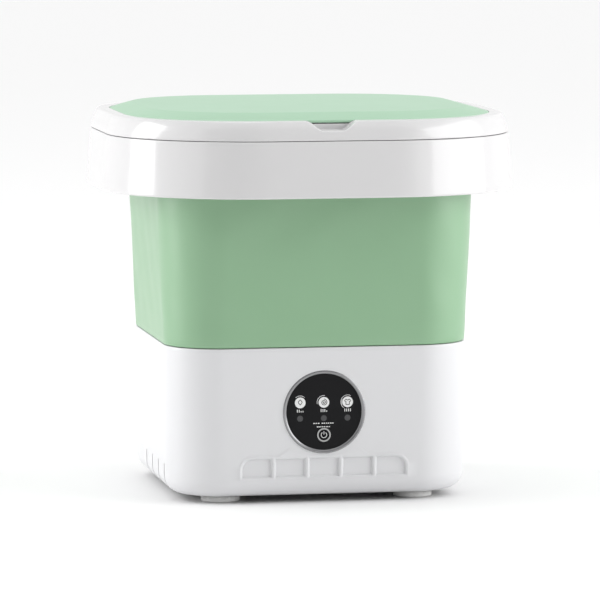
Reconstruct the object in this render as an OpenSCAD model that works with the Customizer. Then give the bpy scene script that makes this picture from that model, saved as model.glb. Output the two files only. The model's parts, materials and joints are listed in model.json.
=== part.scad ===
// Foldable top-loading mini washing machine.
// Origin: centre of the footprint on the floor. +Z is up, the control disc faces -Y, +X is to its right.

/* [Overall] */
// Width across the collar's lower edge
collar_w = 340; // [320:1:410]
// Depth across the collar's lower edge
collar_d = 320; // [300:1:386]
// Height of the collar, from its lower edge to the lid seam
collar_h = 45.6; // [38:0.1:56]
// Width across the base at its seam with the folding wall
base_w = 250; // [208:1:260]
// Depth across the base at its seam with the folding wall
base_d = 232; // [193:1:240]
// Height of that seam above the floor
seam_h = 128; // [122:1:156]
// Height of folding wall that shows between the seam and the collar
wall_show = 124; // [100:1:150]
// Corner radius of the base
base_corner = 45; // [37:1:54]
// Corner radius of the collar's lower edge
collar_corner = 120; // [100:1:144]

/* [Shells] */
// Wall thickness of the base shell
base_wall = 2.8; // [2:0.1:4]
// Radius of the rounding along the base's lower edge
bottom_round = 14; // [11:0.5:17]
// How much the base narrows from its seam to its lower rounding, on each side
base_draft = 0.8; // [0:0.1:2]
// Thickness of the folding wall
wall_t = 3; // [2:0.1:4]
// Lean of the folding wall, outwards for each unit of height
wall_lean = 0.045; // [0:0.001:0.055]
// Thickness of the collar
collar_t = 3; // [2.4:0.1:4]
// How far the collar's lower edge stands out past its upper edge
collar_flare = 3.2; // [0:0.1:6]
// Depth of the collar's inner neck
neck_drop = 15; // [11:0.5:18]
// Thickness of the tub pan
pan_t = 2.6; // [2:0.1:4]
// Height of the tub floor's upper face
pan_floor = 98; // [94:1:104]

/* [Lid] */
// Height of the lid frame's side
lid_h = 15.2; // [13:0.1:18]
// Rise of the lid panel above the frame
crown_h = 6.2; // [4:0.1:8]
// How far the lid frame's side leans in
lid_slope = 5.4; // [3:0.1:8]
// Width of the flat band on top of the lid frame
band_w = 9.6; // [7:0.1:12]
// Gap between collar and lid
lid_gap = 1; // [0.6:0.1:1.6]
// Wall thickness of the lid frame
lid_t = 3; // [2.4:0.1:4]
// Width of the sloped border round the lid panel
panel_border = 18; // [12:1:24]
// Width of the finger notch at its upper edge
notch_w = 42; // [34:1:52]
// Height of the finger notch
notch_h = 7.6; // [5:0.1:9]
// Distance between the two hinges
hinge_spacing = 64; // [53:1:77]
// Diameter of the hinge pins
hinge_pin_d = 2.5; // [2:0.1:3]

/* [Drive] */
// Diameter of the pulsator
pulsator_d = 136; // [110:1:164]
// Diameter of the drive shaft
shaft_d = 8; // [6:0.5:9.6]
// Outer diameter of the two bearings
bearing_d = 22; // [18:1:26]
// Width of the two bearings
bearing_w = 7; // [5:0.5:9]
// Teeth on the driven gear
gear_teeth = 60; // [48:12:72]
// Teeth on the motor pinion
pinion_teeth = 12; // [12:12:12]
// Module of the gear teeth
gear_module = 1; // [0.8:0.1:1.2]
// Diameter of the motor
motor_d = 28; // [24:1:34]
// Length of the motor
motor_len = 35; // [26:1:36]

/* [Control panel] */
// Diameter of the black control disc
panel_d = 62.4; // [54:0.2:75]
// Width of the ring bezel
bezel_w = 2.8; // [2:0.1:4]
// Height of the disc's centre above the floor
panel_z = 75; // [68:1:82]
// Diameter of the power key
key_d = 12.4; // [10:0.2:15]
// Travel of the power key
key_travel = 0.8; // [0.4:0.1:1]
// Distance between the indicator windows
mark_pitch = 19.6; // [16:0.1:21]

/* [Drain and power] */
// Outer diameter of the drain spigot
spigot_d = 18; // [15:0.5:22]
// Wall thickness of the drain spigot and elbow
spigot_t = 2.5; // [2:0.1:3]
// How far the drain spigot stands out at the back
spigot_reach = 17; // [12:1:22]
// Height of the drain and power outlets
outlet_z = 45; // [38:1:54]
// Diameter of the power inlet's mouth
inlet_d = 5.8; // [5:0.1:7]

/* [Feet] */
// Diameter of a foot
foot_d = 32; // [26:1:40]
// Height of a foot
foot_h = 6; // [5:0.5:8]

/* [Hidden] */
$fn = 64;
eps = 0.01;
// Segments of each rounded corner in a lofted shell
corner_steps = 14;

// Clearances
seat_gap = 0.3;
soft_gap = 0.5;
running_gap = 0.05;

// Levels, upwards from the floor
cover_t = 2.8;
lip_z = foot_h + cover_t + 0.2;
round_z = foot_h + bottom_round;
seam_gap = 0.6;
bead_t = 3;
bead_z = seam_h + seam_gap / 2;
rim_z = bead_z + bead_t + seat_gap;
rim_t = 2.5;
collar_z = seam_h + wall_show;
part_z = collar_z + collar_h;
lid_z = part_z + lid_gap;
frame_top = lid_z + lid_h;
crown_top = frame_top + crown_h;

// Half sizes
base_x = base_w / 2;
base_y = base_d / 2;
collar_x = collar_w / 2;
collar_y = collar_d / 2;
lid_x = collar_x - collar_flare - 0.5;
lid_y = collar_y - collar_flare - 0.5;
lid_corner = collar_corner - 2.5;
panel_in = lid_slope + band_w + 0.3;
ledge_z = frame_top - 2.4;

// Folding wall and what grips its upper end
wall_top = part_z - 6;
neck_x = base_x + wall_lean * (wall_top - seam_h) + soft_gap;
neck_y = base_y + wall_lean * (wall_top - seam_h) + soft_gap;
neck_corner = base_corner + wall_lean * (wall_top - seam_h) + soft_gap;
clamp_t = 2.9;

// Hinge line, just behind the lid's rear face and above the lid seam
knuckle_r = 3.3;
hinge_y = lid_y + 0.2;
hinge_z = lid_z + 1.4;
lid_knuckle_w = 16;
collar_knuckle_w = 8;
knuckle_gap = 0.4;
pocket_r = knuckle_r + soft_gap;

// Tub pan
bead_in = 6;
pan_x = base_x - wall_t - bead_in - 2;
pan_y = base_y - wall_t - bead_in - 2;
pan_corner = base_corner - wall_t - bead_in - 2;
pan_slope = 15;
floor_x = pan_x - pan_slope;
floor_y = pan_y - pan_slope;
floor_under = pan_floor - pan_t;

// Drive train on the centre line
shaft_r = shaft_d / 2 - running_gap;
gear_t = 7;
gear_z = 55;
plate_t = 2;
plate_z = gear_z - 2 - plate_t;
lower_bearing_z = gear_z + gear_t + 5;
upper_bearing_z = lower_bearing_z + bearing_w + 7;
seal_z = upper_bearing_z + bearing_w + 0.4;
seal_t = 5;
boss_r = bearing_d / 2 + 4;
pulsator_z = pan_floor + 2;
pulsator_hub_h = 12;
gear_r = gear_module * gear_teeth / 2;
pinion_r = gear_module * pinion_teeth / 2;
motor_x = -(gear_r + pinion_r + 0.35);
motor_top = plate_z;
motor_shaft_r = 1.15;

// Screw posts under the tub pan
post_r = 5;
post_x = floor_x - 6;
post_y = floor_y * 0.42;
plate_post_x = gear_r + 8;
plate_post_y = gear_r - 4;
screw_r = 1.6;
screw_hole_r = 1.7;

// Drain outlet
spigot_r = spigot_d / 2;
spigot_bore_r = spigot_r - spigot_t;
// Shoulder that stops the hose, and the tail that the elbow's sleeve grips
spigot_shoulder_r = spigot_r + 0.8;
spigot_shoulder = 2;
spigot_tail_r = spigot_r - 0.5;
flange_room = 4.5;
flange_gap = spigot_r / 6;
drain_x = floor_x - 22;
drain_y = floor_y - 23;
grate_r = 11;

// Rear face at the height of the outlets
function base_half_y(z) = base_y - base_draft * (seam_h - z) / (seam_h - round_z);
rear_y = base_half_y(outlet_z);
inlet_seat = 11.25;
inlet_x = -(base_x - base_corner - inlet_seat);
wire_x = -base_x * 0.55;
inlet_pin_r = 1;

// Control panel, measured back from the front face
front_y = -base_half_y(panel_z);
panel_r = panel_d / 2;
bezel_r = panel_r + bezel_w;
cup_r = bezel_r - 1.4;
bezel_front = front_y - 0.8;
disc_front = front_y + 1.4;
disc_t = 2.4;
cup_floor_t = 1.8;
cup_back = disc_front + disc_t + cup_floor_t;
board_front = cup_back + 6;
board_t = 1.6;
key_r = key_d / 2;
key_stem_r = 2;
key_z = panel_z - panel_r * 0.61;
mark_z = panel_z + panel_r * 0.243;
window_z = panel_z - panel_r * 0.173;
window_r = 2.5;
mark_r = 4.4;
board_post = panel_r * 0.8;

// Row of five shallow recesses under the control disc
cell_count = 5;
cell_w = 24.4;
cell_rib = 3.2;
cell_z = 22;
cell_h = 14.5;
cell_depth = 1.8;
cell_round = 8.5;
row_w = cell_count * cell_w + (cell_count - 1) * cell_rib;

// Vent slots in the left side
vent_w = 2.6;
vent_h = 30;
vent_count = 4;
vent_pitch = base_d * 0.132;
// Where the first slot is, in pitches from the middle
vent_start = -2.27;

// One horizontal outline of a rounded box, anticlockwise seen from above
function ring(hx, hy, r, z) = [
    for (quarter = [0:3])
        for (i = [0:corner_steps])
            let (a = 90 * quarter + 90 * i / corner_steps)
            let (side_x = (quarter == 0 || quarter == 3) ? 1 : -1)
            let (side_y = quarter < 2 ? 1 : -1)
            [side_x * (hx - r) + r * cos(a), side_y * (hy - r) + r * sin(a), z]];

// Outlines set in from a shell's reference size by an inset
function base_ring(inset, z) = ring(base_x - inset, base_y - inset, base_corner - inset, z);
function lid_ring(inset, z) = ring(lid_x - inset, lid_y - inset, lid_corner - inset, z);
function pan_ring(inset, z) = ring(pan_x - inset, pan_y - inset, pan_corner - inset * (inset > 0 ? 0.6 : 1), z);
function neck_ring(inset, z) = ring(neck_x - inset, neck_y - inset, neck_corner - inset, z);
function collar_ring(inset, z) = let (lean = collar_flare * (z - collar_z) / collar_h)
    ring(collar_x - inset - lean, collar_y - inset - lean, collar_corner - inset - lean, z);
function wall_ring(inset, z) = let (lean = wall_lean * (z - seam_h))
    ring(base_x - inset + lean, base_y - inset + lean, base_corner - inset + lean, z);

// Skin through a list of outlines. A hoop joins its last outline to its first; a plate closes both ends flat
module loft(rings, hoop) {
    n = len(rings[0]);
    m = len(rings);
    last = hoop ? m - 1 : m - 2;
    sides = [
        for (j = [0:last])
            for (i = [0:n - 1])
                let (up = (j + 1) % m)
                let (next = (i + 1) % n)
                for (f = [[j * n + i, up * n + i, up * n + next], [j * n + i, up * n + next, j * n + next]])
                    f];
    ends = hoop ? [] : [[for (i = [0:n - 1]) i], [for (i = [n - 1:-1:0]) (m - 1) * n + i]];
    polyhedron([for (r = rings) for (p = r) p], concat(sides, ends), convexity = 10);
}

// Flat rounded rectangle from its half sizes
module outline(hx, hy, r) {
    square([2 * hx, 2 * (hy - r)], center = true);
    square([2 * (hx - r), 2 * hy], center = true);
    for (sx = [-1, 1])
        for (sy = [-1, 1])
            translate([sx * (hx - r), sy * (hy - r)]) circle(r);
}

module along_x(x, y, z) {
    translate([x, y, z]) rotate([0, 90, 0]) children();
}

module along_y(x, y, z) {
    translate([x, y, z]) rotate([-90, 0, 0]) children();
}

module at_posts() {
    for (sx = [-1, 1])
        for (sy = [-1, 1])
            translate([sx * post_x, sy * post_y, 0]) children();
}

module at_plate_posts() {
    for (sx = [-1, 1])
        for (sy = [-1, 1])
            translate([sx * plate_post_x, sy * plate_post_y, 0]) children();
}

module at_feet() {
    for (sx = [-1, 1])
        for (sy = [-1, 1])
            translate([sx * (base_x - 45), sy * (base_y - 33), 0]) children();
}

module at_marks() {
    for (i = [-1:1])
        along_y(i * mark_pitch, 0, 0) children();
}

module at_board_posts() {
    for (a = [45:90:315])
        translate([board_post * cos(a), 0, panel_z + board_post * sin(a)]) children();
}

// ---- Base ----

module recess_row() {
    for (i = [0:cell_count - 1])
        let (x0 = -row_w / 2 + i * (cell_w + cell_rib))
        translate([x0, 0, cell_z]) recess_cell(i == 0, i == cell_count - 1);
}

// One recess; an end cell has a rounded outer top corner
module recess_cell(left_end, right_end) {
    reach = 12;
    front = -base_half_y(cell_z + cell_h / 2) + cell_depth;
    translate([0, front, 0]) rotate([90, 0, 0]) linear_extrude(reach)
        difference() {
            square([cell_w, cell_h]);
            if (left_end)
                corner_cut(0, 1);
            if (right_end)
                corner_cut(cell_w, -1);
        }
}

module corner_cut(x, side) {
    translate([x, cell_h])
        difference() {
            square(2 * cell_round, center = true);
            translate([side * cell_round, -cell_round]) circle(cell_round);
            translate([side > 0 ? cell_round : -3 * cell_round, -2 * cell_round - eps])
                square([2 * cell_round, 4 * cell_round]);
            translate([-2 * cell_round, -3 * cell_round]) square([4 * cell_round, 2 * cell_round]);
        }
}

module base_shell() {
    inner_round = bottom_round - base_wall;
    flange_in = wall_t + bead_in - 0.5;
    flange_top = seam_h - seam_gap / 2;
    outer = [for (t = [-90:15:0]) base_ring(base_draft + bottom_round * (1 - cos(t)), round_z + bottom_round * sin(t))];
    inner = [for (t = [0:-15:-45])
        base_ring(base_draft + bottom_round - inner_round * cos(t), round_z + inner_round * sin(t))];
    top = [base_ring(0, flange_top), base_ring(flange_in, flange_top), base_ring(flange_in, flange_top - 2.8),
        base_ring(base_wall, flange_top - 2.8 - 1.5)];
    floor_lip = [base_ring(base_draft + bottom_round + 6, lip_z + 3), base_ring(base_draft + bottom_round + 6, lip_z),
        base_ring(base_draft + bottom_round, lip_z)];
    color("white") difference() {
        union() {
            loft(concat(outer, top, inner, floor_lip), true);
            translate([-row_w / 2 - 4, front_y + base_wall - 1, cell_z - 2.5]) cube([row_w + 8, 4, cell_h + 5]);
        }
        recess_row();
        along_y(0, front_y - 5, panel_z) cylinder(r = cup_r + 0.2, h = 20);
        along_y(0, front_y - 5, panel_z) cylinder(r = bezel_r + 0.15, h = 5.6);
        along_y(drain_x, rear_y - 15, outlet_z) cylinder(r = spigot_shoulder_r + 0.2, h = 30);
        along_y(inlet_x, rear_y - 15, outlet_z) cylinder(r = 5.7, h = 30);
        for (i = [0:vent_count - 1])
            translate([-base_x - 5, (i + vent_start) * vent_pitch - vent_w / 2, foot_h + 2])
                cube([13.5, vent_w, vent_h - foot_h - 2]);
    }
}

module bottom_cover() {
    inset = base_draft + bottom_round + seat_gap;
    color("white") difference() {
        translate([0, 0, foot_h]) linear_extrude(cover_t) outline(base_x - inset, base_y - inset, base_corner - inset);
        at_posts() translate([0, 0, foot_h - 1]) cylinder(r = screw_hole_r, h = cover_t + 2);
        at_posts() translate([0, 0, foot_h - 1]) cylinder(r = 3.4, h = 2.4);
        at_feet() translate([0, 0, foot_h - 1]) cylinder(r = 3.1, h = cover_t + 2);
    }
}

module feet() {
    color("whitesmoke") at_feet() {
        cylinder(r1 = foot_d / 2 - 1, r2 = foot_d / 2, h = 1);
        translate([0, 0, 1 - eps]) cylinder(r = foot_d / 2, h = foot_h - 1 + eps);
        translate([0, 0, foot_h - eps]) cylinder(r = 3, h = cover_t + 2 * eps);
        translate([0, 0, foot_h + cover_t]) cylinder(r = 3.7, h = 1.4);
    }
}

module cover_screws() {
    color("silver") at_posts() {
        difference() {
            translate([0, 0, foot_h - 0.4]) cylinder(r = 3, h = 1.8);
            translate([0, 0, foot_h - 1]) cylinder(r = 1.5, h = 1.4, $fn = 6);
        }
        translate([0, 0, foot_h + 1.2]) cylinder(r = screw_r, h = 14);
    }
}

// ---- Tub ----

module tub_pan() {
    under = [pan_ring(40, floor_under), pan_ring(pan_slope + 4, floor_under), pan_ring(pan_slope, floor_under + 3)];
    rim = [pan_ring(0, rim_z - 6), pan_ring(0, rim_z), pan_ring(-bead_in - 1.6, rim_z),
        pan_ring(-bead_in - 1.6, rim_z + rim_t - 0.8), pan_ring(-bead_in - 0.8, rim_z + rim_t),
        pan_ring(pan_t + 0.5, rim_z + rim_t)];
    inside = [pan_ring(pan_t, rim_z - 6), pan_ring(pan_slope + pan_t, floor_under + pan_t + 3),
        pan_ring(pan_slope + pan_t + 4, pan_floor), pan_ring(42, pan_floor)];
    color("white") difference() {
        union() {
            loft(concat(under, rim, inside), false);
            translate([0, 0, lower_bearing_z]) cylinder(r = boss_r, h = floor_under - lower_bearing_z + 1);
            at_posts() translate([0, 0, foot_h + cover_t]) cylinder(r = post_r, h = floor_under - foot_h - cover_t + 1);
            at_plate_posts() translate([0, 0, plate_z + plate_t]) cylinder(r = 4, h = floor_under - plate_z - plate_t + 1);
            translate([drain_x, drain_y, floor_under - 12]) cylinder(r = spigot_r - spigot_t - 0.1, h = 13);
        }
        translate([0, 0, lower_bearing_z - 1]) cylinder(r = bearing_d / 2, h = bearing_w + 1);
        translate([0, 0, lower_bearing_z - 1]) cylinder(r = bearing_d / 2 - 3, h = 60);
        translate([0, 0, upper_bearing_z]) cylinder(r = bearing_d / 2, h = pan_floor - upper_bearing_z + 1);
        translate([drain_x, drain_y, pan_floor - 1.2]) cylinder(r = grate_r + 0.2, h = 5);
        translate([drain_x, drain_y, floor_under - 13]) cylinder(r = spigot_bore_r - 2, h = 20);
        at_posts() translate([0, 0, foot_h]) cylinder(r = screw_hole_r, h = 18);
        at_plate_posts() translate([0, 0, plate_z]) cylinder(r = screw_hole_r, h = 14);
    }
}

module drain_grate() {
    color("white") translate([drain_x, drain_y, pan_floor - 1.2]) difference() {
        cylinder(r = grate_r, h = 1.6);
        for (a = [0:60:300])
            rotate([0, 0, a]) translate([3.2, 0, -1]) cylinder(r = 0.9, h = 4);
        translate([0, 0, -1]) cylinder(r = 0.9, h = 4);
    }
}

module drain_elbow() {
    sleeve_r = spigot_tail_r + spigot_t;
    top = floor_under - 0.4;
    bend_z = outlet_z;
    end_y = rear_y - base_wall - 9;
    color("dimgray") difference() {
        union() {
            translate([drain_x, drain_y, bend_z]) cylinder(r = spigot_tail_r, h = top - bend_z);
            translate([drain_x, drain_y, bend_z]) sphere(spigot_tail_r);
            along_y(drain_x, drain_y, bend_z) cylinder(r = spigot_tail_r, h = end_y - drain_y);
            along_y(drain_x, end_y - 3, bend_z) cylinder(r = sleeve_r, h = 7.2);
        }
        translate([drain_x, drain_y, bend_z]) cylinder(r = spigot_bore_r, h = 60);
        translate([drain_x, drain_y, bend_z]) sphere(spigot_bore_r);
        along_y(drain_x, drain_y, bend_z) cylinder(r = spigot_bore_r, h = end_y - drain_y + 1);
        along_y(drain_x, end_y, bend_z) cylinder(r = spigot_tail_r + 0.02, h = 5);
    }
}

module drain_spigot() {
    start = rear_y - base_wall - 8.8;
    flange = rear_y - base_wall - flange_room;
    stop = rear_y + spigot_shoulder;
    color("white") difference() {
        union() {
            along_y(drain_x, start, outlet_z) cylinder(r = spigot_tail_r, h = rear_y - start);
            along_y(drain_x, flange, outlet_z) cylinder(r = spigot_r + 4, h = flange_room - flange_gap);
            along_y(drain_x, flange, outlet_z) cylinder(r = spigot_shoulder_r, h = stop - flange);
            along_y(drain_x, stop - eps, outlet_z) cylinder(r = spigot_r, h = spigot_reach - spigot_shoulder + eps);
        }
        along_y(drain_x, start - 1, outlet_z) cylinder(r = spigot_bore_r, h = 60);
    }
}

module drain_plug() {
    end = rear_y + spigot_reach;
    color("dimgray") {
        along_y(drain_x, end - 11, outlet_z) cylinder(r1 = spigot_bore_r - 1, r2 = spigot_bore_r - running_gap, h = 2);
        along_y(drain_x, end - 9 - eps, outlet_z) cylinder(r = spigot_bore_r - running_gap, h = 9.3);
        along_y(drain_x, end + 0.2, outlet_z) cylinder(r = spigot_r - 0.6, h = 2);
        difference() {
            along_y(drain_x, end + 2, outlet_z) cylinder(r = 3.6, h = 6);
            along_x(drain_x - 5, end + 5, outlet_z) cylinder(r = 1.3, h = 10);
        }
    }
}

module fold_wall() {
    rings = [wall_ring(0, bead_z), wall_ring(0, collar_z), wall_ring(0, wall_top), wall_ring(wall_t, wall_top),
        wall_ring(wall_t, collar_z), wall_ring(wall_t, bead_z + bead_t), wall_ring(wall_t + bead_in, bead_z + bead_t),
        wall_ring(wall_t + bead_in, bead_z)];
    color("darkseagreen") loft(rings, true);
}

// ---- Collar ----

// Cylinder and rib of one hinge knuckle, standing on a foot at the given place
module knuckle(x, width, foot_y, foot_z) {
    hull() {
        along_x(x, hinge_y, hinge_z) cylinder(r = knuckle_r, h = width, $fn = 32);
        translate([x, foot_y, foot_z]) cube([width, 1.2, 1.2]);
    }
}

module collar() {
    outer = [collar_ring(0.9, collar_z), collar_ring(0, collar_z + 1.2), collar_ring(0, part_z - 1.6),
        collar_ring(0.5, part_z - 0.5), collar_ring(1.6, part_z)];
    neck = [neck_ring(0, part_z), neck_ring(0, part_z - neck_drop), neck_ring(-2.5, part_z - neck_drop),
        neck_ring(-2.5, part_z - collar_t)];
    inner = [collar_ring(collar_t, part_z - collar_t), collar_ring(collar_t, collar_z + 1), collar_ring(2.2, collar_z)];
    color("white") difference() {
        union() {
            loft(concat(outer, neck, inner), true);
            for (s = [-1, 1])
                for (side = [-1, 1])
                    knuckle(s * hinge_spacing / 2 + side * (lid_knuckle_w + collar_knuckle_w + 2 * knuckle_gap) / 2
                        - collar_knuckle_w / 2, collar_knuckle_w, collar_y - collar_flare - 2, part_z - 14);
        }
        for (s = [-1, 1]) {
            along_x(s * hinge_spacing / 2 - 18, hinge_y, hinge_z) cylinder(d = hinge_pin_d, h = 36);
            along_x(s * hinge_spacing / 2 - lid_knuckle_w / 2 - knuckle_gap, hinge_y, hinge_z)
                cylinder(r = pocket_r, h = lid_knuckle_w + 2 * knuckle_gap);
        }
    }
}

module wall_clamp_ring() {
    leg_out = wall_t + 2 * soft_gap;
    leg_in = leg_out + clamp_t;
    flange_z = wall_top + soft_gap;
    rings = [neck_ring(leg_out, part_z - neck_drop), neck_ring(leg_out, flange_z), neck_ring(0.1, flange_z),
        neck_ring(0.1, flange_z + 3), neck_ring(leg_in - 1, flange_z + 3), neck_ring(leg_in, flange_z + 2),
        neck_ring(leg_in, part_z - neck_drop)];
    color("white") loft(rings, true);
}

module hinge_pins() {
    length = lid_knuckle_w + 2 * knuckle_gap + 2 * collar_knuckle_w - 1;
    color("silver") for (s = [-1, 1])
        along_x(s * hinge_spacing / 2 - length / 2, hinge_y, hinge_z) cylinder(d = hinge_pin_d, h = length);
}

// ---- Lid ----

module lid_frame() {
    under_band = frame_top - 2.6;
    rings = [lid_ring(lid_t, lid_z), lid_ring(0, lid_z), lid_ring(0.4, lid_z + 3.4),
        lid_ring(lid_slope - 1.8, frame_top - 2.2), lid_ring(lid_slope - 0.8, frame_top - 0.7),
        lid_ring(lid_slope + 0.8, frame_top), lid_ring(panel_in - 0.3, frame_top), lid_ring(panel_in - 0.3, ledge_z),
        lid_ring(panel_in + 9, ledge_z), lid_ring(panel_in + 9, ledge_z - 2.4), lid_ring(panel_in, ledge_z - 2.4),
        lid_ring(panel_in - 4, under_band), lid_ring(lid_slope + 1.6, under_band), lid_ring(lid_t + 0.3, lid_z + 3.4)];
    notch_z = frame_top - notch_h;
    notch_back = -lid_y + panel_in + 0.1;
    color("white") difference() {
        union() {
            loft(rings, true);
            for (s = [-1, 1])
                knuckle(s * hinge_spacing / 2 - lid_knuckle_w / 2, lid_knuckle_w, lid_y - 4.5, lid_z + 9);
            translate([-notch_w / 2 - 3, -lid_y + 2.4, lid_z + 3.2])
                cube([notch_w + 6, panel_in + 0.6, ledge_z - lid_z - 3.2]);
        }
        translate([0, notch_back, notch_z]) rotate([90, 0, 0]) linear_extrude(30)
            polygon([[-notch_w * 0.22, 0], [notch_w * 0.22, 0], [notch_w / 2, notch_h + 1], [-notch_w / 2, notch_h + 1]]);
        for (s = [-1, 1]) {
            along_x(s * hinge_spacing / 2 - 18, hinge_y, hinge_z) cylinder(r = hinge_pin_d / 2 + running_gap, h = 36);
            for (side = [-1, 1])
                along_x(s * hinge_spacing / 2 + side * (lid_knuckle_w + collar_knuckle_w + 2 * knuckle_gap) / 2
                    - collar_knuckle_w / 2 - knuckle_gap, hinge_y, hinge_z)
                    cylinder(r = pocket_r, h = collar_knuckle_w + 2 * knuckle_gap);
        }
    }
}

module lid_panel() {
    foot = ledge_z + 0.2;
    slope_in = panel_in + panel_border;
    inner = [lid_ring(80, crown_top - 2.6), lid_ring(slope_in + 6, crown_top - 3.4),
        lid_ring(slope_in, crown_top - 4.3), lid_ring(panel_in + 4, foot)];
    outer = [lid_ring(panel_in, foot), lid_ring(panel_in, frame_top - 0.9), lid_ring(panel_in + 1.2, frame_top - 0.1),
        lid_ring(slope_in - 3, crown_top - 2), lid_ring(slope_in + 2, crown_top - 1),
        lid_ring(slope_in + 22, crown_top - 0.3), lid_ring(slope_in + 40, crown_top)];
    color("darkseagreen") loft(concat(inner, outer), false);
}

module lid_liner() {
    inset = lid_t + 0.4;
    lip_in = 2.4;
    seat = lid_z + 0.2;
    inner_x = neck_x - wall_t - clamp_t - 2 * soft_gap;
    inner_y = neck_y - wall_t - clamp_t - 2 * soft_gap;
    inner_r = neck_corner - wall_t - clamp_t - 2 * soft_gap;
    color("white") difference() {
        union() {
            translate([0, 0, seat]) linear_extrude(2.5) outline(lid_x - inset, lid_y - inset, lid_corner - inset);
            translate([0, 0, seat - 6]) linear_extrude(6 + eps) difference() {
                outline(inner_x - lip_in, inner_y - lip_in, inner_r - lip_in);
                outline(inner_x - lip_in - 2.4, inner_y - lip_in - 2.4, inner_r - lip_in - 2.4);
            }
        }
        translate([0, 0, seat - 1]) linear_extrude(2.2) seal_outline(0.1);
    }
}

// Band that the seal fills, wider by the given clearance on both edges
module seal_outline(gap) {
    difference() {
        outline(neck_x + 9 + gap, neck_y + 9 + gap, neck_corner + 9 + gap);
        outline(neck_x + 5 - gap, neck_y + 5 - gap, neck_corner + 5 - gap);
    }
}

module lid_seal() {
    color("gainsboro") translate([0, 0, part_z + 0.4]) linear_extrude(lid_gap + 0.8 + 0.1) seal_outline(0);
}

// ---- Drive ----

module pulsator() {
    r = pulsator_d / 2;
    color("whitesmoke") difference() {
        union() {
            translate([0, 0, pulsator_z]) rotate_extrude()
                polygon([[0, 0], [r - 3, 0], [r, 1.5], [r, 3.5], [r - 2, 5], [r * 0.55, 5.6], [r * 0.28, 9],
                    [11, pulsator_hub_h], [0, pulsator_hub_h]]);
            for (a = [0:60:300])
                rotate([0, 0, a]) translate([10, -2.5, pulsator_z + 2]) cube([r - 20, 5, pulsator_hub_h - 3]);
        }
        translate([0, 0, pulsator_z - 1]) cylinder(r = shaft_r + 0.02, h = pulsator_hub_h - 1);
        translate([0, 0, pulsator_z + pulsator_hub_h - 3]) cylinder(r = 6.2, h = 5);
        for (a = [30:60:330])
            for (d = [r * 0.45, r * 0.68])
                rotate([0, 0, a]) translate([d, 0, pulsator_z - 1]) cylinder(r = 2.2, h = 12);
    }
}

module pulsator_screw() {
    color("silver") difference() {
        union() {
            translate([0, 0, pulsator_z + pulsator_hub_h - 3]) cylinder(r = 5.6, h = 2.2);
            translate([0, 0, pulsator_z + pulsator_hub_h - 14]) cylinder(r = 1.9, h = 12);
        }
        translate([-4, -0.6, pulsator_z + pulsator_hub_h - 1.6]) cube([8, 1.2, 2]);
    }
}

module drive_shaft() {
    top = pulsator_z + pulsator_hub_h - 3.1;
    bottom = gear_z - 1;
    color("silver") difference() {
        translate([0, 0, bottom]) cylinder(r = shaft_r, h = top - bottom);
        translate([0, 0, top - 11.5]) cylinder(r = 1.95, h = 12);
        translate([0, 0, gear_z + gear_t + 1]) difference() {
            cylinder(r = shaft_r + 1, h = 1);
            translate([0, 0, -1]) cylinder(r = shaft_r - 0.7, h = 3);
        }
    }
}

module shaft_clip() {
    color("dimgray") translate([0, 0, gear_z + gear_t + 1.1]) difference() {
        cylinder(r = shaft_r + 2.6, h = 0.8);
        translate([0, 0, -1]) cylinder(r = shaft_r - 0.65, h = 3);
        translate([0, -1.6, -1]) cube([20, 3.2, 3]);
    }
}

module shaft_seal() {
    color("black") translate([0, 0, seal_z]) difference() {
        cylinder(r = bearing_d / 2 - 0.05, h = seal_t);
        translate([0, 0, -1]) cylinder(r = shaft_d / 2 + 0.02, h = seal_t + 2);
        translate([0, 0, seal_t - 1.6]) rotate_extrude() translate([shaft_d / 2 + 1.5, 0]) square([3.2, 3]);
    }
}

module bearing() {
    mid = (shaft_d + bearing_d) / 4;
    difference() {
        cylinder(r = bearing_d / 2 - 0.02, h = bearing_w);
        translate([0, 0, -1]) cylinder(r = shaft_d / 2, h = bearing_w + 2);
        for (z = [-1, bearing_w - 0.6])
            translate([0, 0, z]) rotate_extrude() translate([mid - 1.4, 0]) square([2.8, 1.6]);
    }
}

module upper_bearing() {
    color("silver") translate([0, 0, upper_bearing_z]) bearing();
}

module lower_bearing() {
    color("silver") translate([0, 0, lower_bearing_z]) bearing();
}

// Outline of a gear whose first tooth is centred on the given angle
module gear_outline(teeth, first) {
    pitch = gear_module * teeth / 2;
    step = 360 / teeth;
    root = pitch - 1.15 * gear_module;
    tip = pitch + 0.85 * gear_module;
    polygon([
        for (k = [0:teeth - 1])
            for (p = [[root, -0.3], [tip, -0.1], [tip, 0.1], [root, 0.3]])
                let (a = first + step * (k + p[1]))
                [p[0] * cos(a), p[0] * sin(a)]]);
}

module driven_gear() {
    color("ivory") translate([0, 0, gear_z]) difference() {
        union() {
            linear_extrude(gear_t - 1) gear_outline(gear_teeth, 0);
            cylinder(r = shaft_r + 4, h = gear_t);
        }
        translate([0, 0, -1]) cylinder(r = shaft_r + 0.02, h = gear_t + 2);
        for (a = [0:60:300])
            rotate([0, 0, a]) translate([gear_r * 0.58, 0, -1]) cylinder(r = gear_r * 0.19, h = gear_t + 2);
    }
}

module motor_pinion() {
    color("ivory") translate([motor_x, 0, gear_z - 0.5]) difference() {
        linear_extrude(gear_t) gear_outline(pinion_teeth, 180 / pinion_teeth);
        translate([0, 0, -1]) cylinder(r = motor_shaft_r + 0.01, h = gear_t + 2);
    }
}

module motor_shaft() {
    color("silver") translate([motor_x, 0, motor_top - 12]) cylinder(r = motor_shaft_r, h = 12 + gear_z + gear_t - motor_top);
}

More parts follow.
